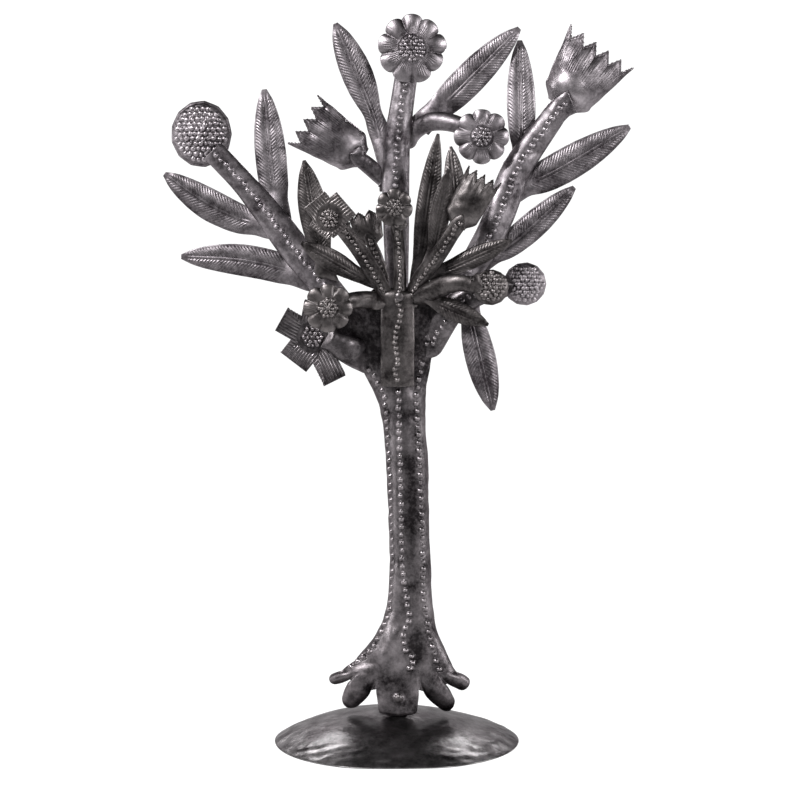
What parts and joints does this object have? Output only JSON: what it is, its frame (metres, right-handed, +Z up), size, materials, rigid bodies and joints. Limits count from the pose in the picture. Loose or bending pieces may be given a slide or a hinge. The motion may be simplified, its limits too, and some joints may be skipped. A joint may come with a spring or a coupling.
{
  "type": "tree of life ornament",
  "caption": "Free-standing tree of life in hammered sheet steel: rolled trunk with roots on a domed round base, branching into leaves, seed balls, tulips and daisies.",
  "frame": {"origin": "middle of the base's rim circle, on the surface that the base rests on", "axes": "+Z up along the trunk; +X to the viewer's right; -Y towards the viewer, the side that the bouquet faces"},
  "size_m": [0.2632, 0.14, 0.412],
  "materials": {
    "base_steel": "smooth hammered dome, dark, lacquered",
    "trunk_steel": "hammered and punched, dark grey, lacquered",
    "spray_steel": "hammered and chiselled, mid grey with a faint purple cast, lacquered",
    "bouquet_steel": "hammered and chiselled, darker brown grey, lacquered",
    "rivet_steel": "peened rivet heads"
  },
  "bodies": {
    "root": {"base_dome": "base_steel", "base_lug": "trunk_steel", "big_tulip": "spray_steel", "bouquet_back_leaf": "bouquet_steel", "bouquet_centre_stem": "bouquet_steel", "bouquet_daisy": "bouquet_steel", "bouquet_inner_leaf": "bouquet_steel", "bouquet_left_leaf": "bouquet_steel", "bouquet_left_stem": "bouquet_steel", "bouquet_low_leaf": "bouquet_steel", "bouquet_plate": "bouquet_steel", "bouquet_right_leaf": "bouquet_steel", "bouquet_right_stem": "bouquet_steel", "bouquet_rivet": "rivet_steel", "bouquet_square_flower": "bouquet_steel", "bouquet_tall_leaf": "bouquet_steel", "bouquet_tulip": "bouquet_steel", "bud_stem": "bouquet_steel", "bud_tulip": "bouquet_steel", "centre_stem": "spray_steel", "far_left_leaf": "bouquet_steel", "foot_rivet": "rivet_steel", "hanging_leaf": "spray_steel", "left_ball": "spray_steel", "left_lower_leaf": "spray_steel", "left_middle_leaf": "spray_steel", "left_stem": "spray_steel", "left_tulip": "spray_steel", "left_tulip_stem": "spray_steel", "left_upper_leaf": "spray_steel", "lower_left_flower": "trunk_steel", "lower_left_stem": "trunk_steel", "lower_right_ball": "spray_steel", "lower_right_stem": "trunk_steel", "lug_rivet": "rivet_steel", "right_fork_stem": "spray_steel", "right_lower_leaf": "spray_steel", "right_middle_leaf": "spray_steel", "right_stem": "spray_steel", "right_upper_leaf": "spray_steel", "side_ball": "bouquet_steel", "side_ball_stem": "bouquet_steel", "side_daisy": "bouquet_steel", "side_daisy_stem": "bouquet_steel", "small_daisy": "spray_steel", "top_daisy": "spray_steel", "top_left_leaf": "spray_steel", "top_right_leaf": "spray_steel", "trunk": "trunk_steel"}
  },
  "joints": []
}
